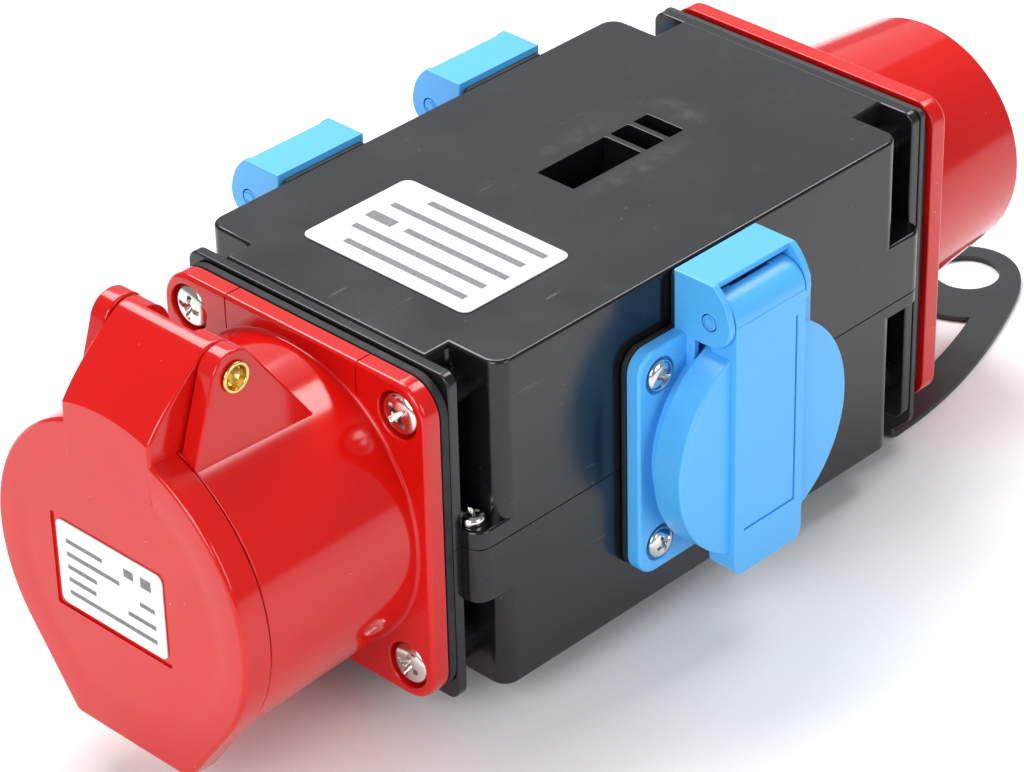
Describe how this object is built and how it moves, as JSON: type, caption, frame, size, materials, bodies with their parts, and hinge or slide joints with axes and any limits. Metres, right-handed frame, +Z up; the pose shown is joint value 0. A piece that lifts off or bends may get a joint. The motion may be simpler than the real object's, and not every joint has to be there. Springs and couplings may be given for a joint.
{
  "type": "portable power distribution box",
  "caption": "Portable power distribution box: two-shell enclosure with a lidded outlet at one end, an inlet at the other, lidded side sockets and a hanging bracket.",
  "frame": {"origin": "centre of the enclosure's underside", "axes": "+Y from the outlet end to the inlet and bracket end, +X towards the side with one socket, +Z up through the top label"},
  "size_m": [0.1098, 0.2619, 0.0953],
  "materials": {
    "black_plastic": "charcoal moulded plastic, semi-gloss, faintly scuffed",
    "red_plastic": "glossy red moulded plastic",
    "blue_plastic": "satin bright blue moulded plastic",
    "rubber_seal": "matt black rubber",
    "label_film": "white self-adhesive film",
    "plated_steel": "nickel-plated steel",
    "contact_brass": "bright turned brass",
    "bracket_paint": "satin black powder-coated sheet steel",
    "insert_plastic": "dark grey heat-resistant plastic",
    "cable_sheath": "black sheathed wiring"
  },
  "bodies": {
    "enclosure": {"upper_shell": "black_plastic", "lower_shell": "black_plastic", "rating_label": "label_film", "case_screw_1": "plated_steel", "case_screw_2": "plated_steel", "case_screw_3": "plated_steel", "case_screw_4": "plated_steel", "outlet_screw_1": "plated_steel", "outlet_screw_2": "plated_steel", "outlet_screw_3": "plated_steel", "outlet_screw_4": "plated_steel", "inlet_screw_1": "plated_steel", "inlet_screw_2": "plated_steel", "inlet_screw_3": "plated_steel", "inlet_screw_4": "plated_steel", "right_socket_screw_1": "plated_steel", "right_socket_screw_2": "plated_steel", "right_socket_screw_3": "plated_steel", "right_socket_screw_4": "plated_steel", "outlet_lid_spring": "plated_steel", "right_socket_lid_spring": "plated_steel", "left_front_socket_lid_spring": "plated_steel", "left_rear_socket_lid_spring": "plated_steel", "hanging_bracket": "bracket_paint", "outlet_housing": "red_plastic", "inlet_housing": "red_plastic", "outlet_gasket": "rubber_seal", "inlet_gasket": "rubber_seal", "right_socket_gasket": "rubber_seal", "left_front_socket_gasket": "rubber_seal", "left_rear_socket_gasket": "rubber_seal", "outlet_hinge_pin": "contact_brass", "outlet_contact_1": "contact_brass", "outlet_contact_2": "contact_brass", "outlet_contact_3": "contact_brass", "outlet_contact_4": "contact_brass", "outlet_contact_5": "contact_brass", "inlet_pin_1": "contact_brass", "inlet_pin_2": "contact_brass", "inlet_pin_3": "contact_brass", "inlet_pin_4": "contact_brass", "inlet_pin_5": "contact_brass", "outlet_contact_carrier": "insert_plastic", "inlet_pin_carrier": "insert_plastic", "right_socket_insert": "insert_plastic", "left_front_socket_insert": "insert_plastic", "left_rear_socket_insert": "insert_plastic", "right_socket_housing": "blue_plastic", "right_socket_hinge_pin": "blue_plastic", "left_front_socket_housing": "blue_plastic", "left_front_socket_hinge_pin": "blue_plastic", "left_rear_socket_housing": "blue_plastic", "left_rear_socket_hinge_pin": "blue_plastic", "wiring_loom": "cable_sheath"},
    "outlet_lid": {"outlet_lid": "red_plastic", "outlet_label": "label_film", "outlet_lid_seal": "rubber_seal"},
    "right_socket_lid": {"right_socket_lid": "blue_plastic"},
    "left_front_socket_lid": {"left_front_socket_lid": "blue_plastic"},
    "left_rear_socket_lid": {"left_rear_socket_lid": "blue_plastic"}
  },
  "joints": [
    {"name": "outlet_lid_hinge", "type": "hinge", "parent": "enclosure", "child": "outlet_lid", "pos_m": [0, -0.1005, 0.0815], "axis": [-1, 0, 0], "range_deg": [0, 110], "stiffness_Nm_per_rad": 0.05, "springref_deg": -171.89},
    {"name": "right_socket_lid_hinge", "type": "hinge", "parent": "enclosure", "child": "right_socket_lid", "pos_m": [0.0494, 0, 0.0655], "axis": [0, -1, 0], "range_deg": [0, 105], "stiffness_Nm_per_rad": 0.02, "springref_deg": -143.24},
    {"name": "left_front_socket_lid_hinge", "type": "hinge", "parent": "enclosure", "child": "left_front_socket_lid", "pos_m": [-0.0494, -0.0253, 0.0655], "axis": [0, 1, 0], "range_deg": [0, 105], "stiffness_Nm_per_rad": 0.02, "springref_deg": -143.24},
    {"name": "left_rear_socket_lid_hinge", "type": "hinge", "parent": "enclosure", "child": "left_rear_socket_lid", "pos_m": [-0.0494, 0.0253, 0.0655], "axis": [0, 1, 0], "range_deg": [0, 105], "stiffness_Nm_per_rad": 0.02, "springref_deg": -143.24}
  ]
}
